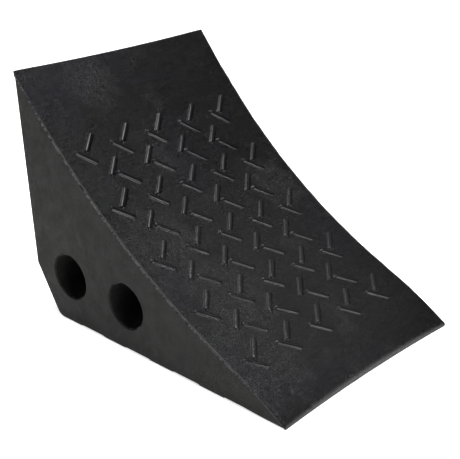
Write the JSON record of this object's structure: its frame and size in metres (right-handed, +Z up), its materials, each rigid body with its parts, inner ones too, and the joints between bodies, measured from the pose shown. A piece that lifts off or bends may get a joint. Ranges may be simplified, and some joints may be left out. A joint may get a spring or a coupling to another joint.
{
  "type": "wheel chock",
  "caption": "Moulded rubber wheel chock with a hollowed contact ramp covered in raised herringbone bars, a raked heel, tapered sides, cross ribs on the sole and through bores.",
  "frame": {"origin": "on the floor, under the middle of the bounding box", "axes": "+X from the heel to the toe, +Y across the tyre's width, +Z up from the floor"},
  "size_m": [0.254, 0.2016, 0.1925],
  "materials": {
    "block_rubber": "matt moulded black rubber, faintly mottled",
    "facing_rubber": "semi-gloss moulded black rubber, scuffed and slightly pitted",
    "tread_rubber": "semi-gloss moulded black rubber, polished on the crests",
    "sole_rubber": "matt black rubber, rubbed by the ground"
  },
  "bodies": {
    "root": {"block": "block_rubber", "ramp_facing": "facing_rubber", "tread_bars_right": "tread_rubber", "tread_bars_left": "tread_rubber", "edge_flash": "tread_rubber", "sole_cleats": "sole_rubber"}
  },
  "joints": []
}
